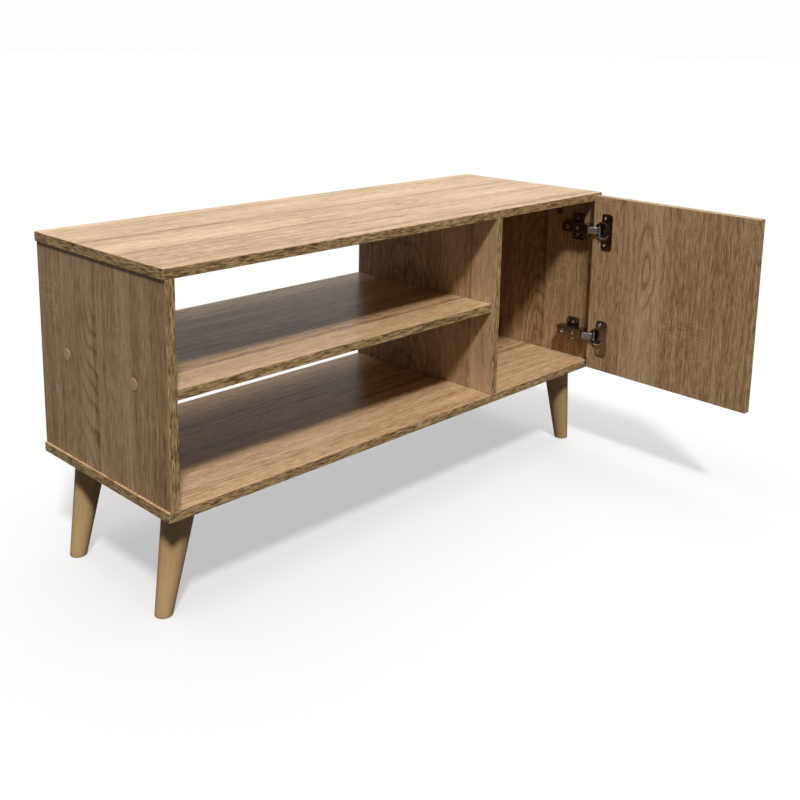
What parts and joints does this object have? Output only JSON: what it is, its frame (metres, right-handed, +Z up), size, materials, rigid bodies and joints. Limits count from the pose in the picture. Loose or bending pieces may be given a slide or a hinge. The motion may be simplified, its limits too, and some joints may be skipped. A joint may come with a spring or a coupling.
{
  "type": "tv stand",
  "caption": "Low wooden media cabinet on splayed tapered legs, with open shelf bays beside a cupboard whose door swings on concealed hinges.",
  "frame": {"origin": "on the floor, under the middle of the stand with its door standing open, which is 1 mm behind the front edge of the boards and midway between the ends of the top", "axes": "+X to the right seen from the front, along the length; +Y to the back; +Z up"},
  "size_m": [1, 0.684, 0.51],
  "materials": {
    "oak_board": "oak-grained laminate on 15 mm board, satin, with matching edge band",
    "hardboard": "thin hardboard, printed face, matt",
    "leg_wood": "turned beech, oak-coloured satin lacquer",
    "dark_nickel": "dark nickel plate",
    "bright_steel": "bright plated steel",
    "zinc_fitting": "dull zinc plate",
    "cap_plastic": "light oak-coloured cover cap",
    "plate_steel": "black powder coat"
  },
  "bodies": {
    "carcass": {"top_panel": "oak_board", "bottom_panel": "oak_board", "left_side_panel": "oak_board", "right_side_panel": "oak_board", "divider_panel": "oak_board", "shelf": "oak_board", "back_panel": "hardboard", "left_front_leg": "leg_wood", "left_front_leg_plate": "plate_steel", "left_front_leg_bolt": "zinc_fitting", "left_rear_leg": "leg_wood", "left_rear_leg_plate": "plate_steel", "left_rear_leg_bolt": "zinc_fitting", "right_front_leg": "leg_wood", "right_front_leg_plate": "plate_steel", "right_front_leg_bolt": "zinc_fitting", "right_rear_leg": "leg_wood", "right_rear_leg_plate": "plate_steel", "right_rear_leg_bolt": "zinc_fitting", "left_front_cam": "zinc_fitting", "left_rear_cam": "zinc_fitting", "divider_front_cam": "zinc_fitting", "divider_rear_cam": "zinc_fitting", "right_front_cam": "zinc_fitting", "right_rear_cam": "zinc_fitting", "shelf_left_front_screw": "zinc_fitting", "shelf_left_front_cap": "cap_plastic", "shelf_left_rear_screw": "zinc_fitting", "shelf_left_rear_cap": "cap_plastic", "shelf_right_front_screw": "zinc_fitting", "shelf_right_front_cap": "cap_plastic", "shelf_right_rear_screw": "zinc_fitting", "shelf_right_rear_cap": "cap_plastic", "lower_hinge_arm": "dark_nickel", "lower_hinge_plate": "dark_nickel", "lower_hinge_arm_pin": "bright_steel", "lower_hinge_arm_screw": "bright_steel", "lower_hinge_plate_bottom_screw": "bright_steel", "lower_hinge_plate_top_screw": "bright_steel", "upper_hinge_arm": "dark_nickel", "upper_hinge_plate": "dark_nickel", "upper_hinge_arm_pin": "bright_steel", "upper_hinge_arm_screw": "bright_steel", "upper_hinge_plate_bottom_screw": "bright_steel", "upper_hinge_plate_top_screw": "bright_steel"},
    "hinge_links": {"lower_hinge_link": "bright_steel", "upper_hinge_link": "bright_steel"},
    "door": {"door": "oak_board", "lower_hinge_cup": "dark_nickel", "lower_hinge_cup_pin": "bright_steel", "lower_hinge_cup_bottom_screw": "bright_steel", "lower_hinge_cup_top_screw": "bright_steel", "upper_hinge_cup": "dark_nickel", "upper_hinge_cup_pin": "bright_steel", "upper_hinge_cup_bottom_screw": "bright_steel", "upper_hinge_cup_top_screw": "bright_steel"}
  },
  "joints": [
    {"name": "link_swing", "type": "hinge", "parent": "carcass", "child": "hinge_links", "pos_m": [0.467, 0.00425, 0.335], "axis": [0, 0, 1], "range_deg": [-4, 42.6]},
    {"name": "door_swing", "type": "hinge", "parent": "hinge_links", "child": "door", "pos_m": [0.47339, -0.01689, 0.335], "axis": [0, 0, 1], "range_deg": [-129.54, 11.91]}
  ],
  "couplings": [
    {"joint": "link_swing", "follows": "door_swing", "ratio": -0.32841}
  ]
}
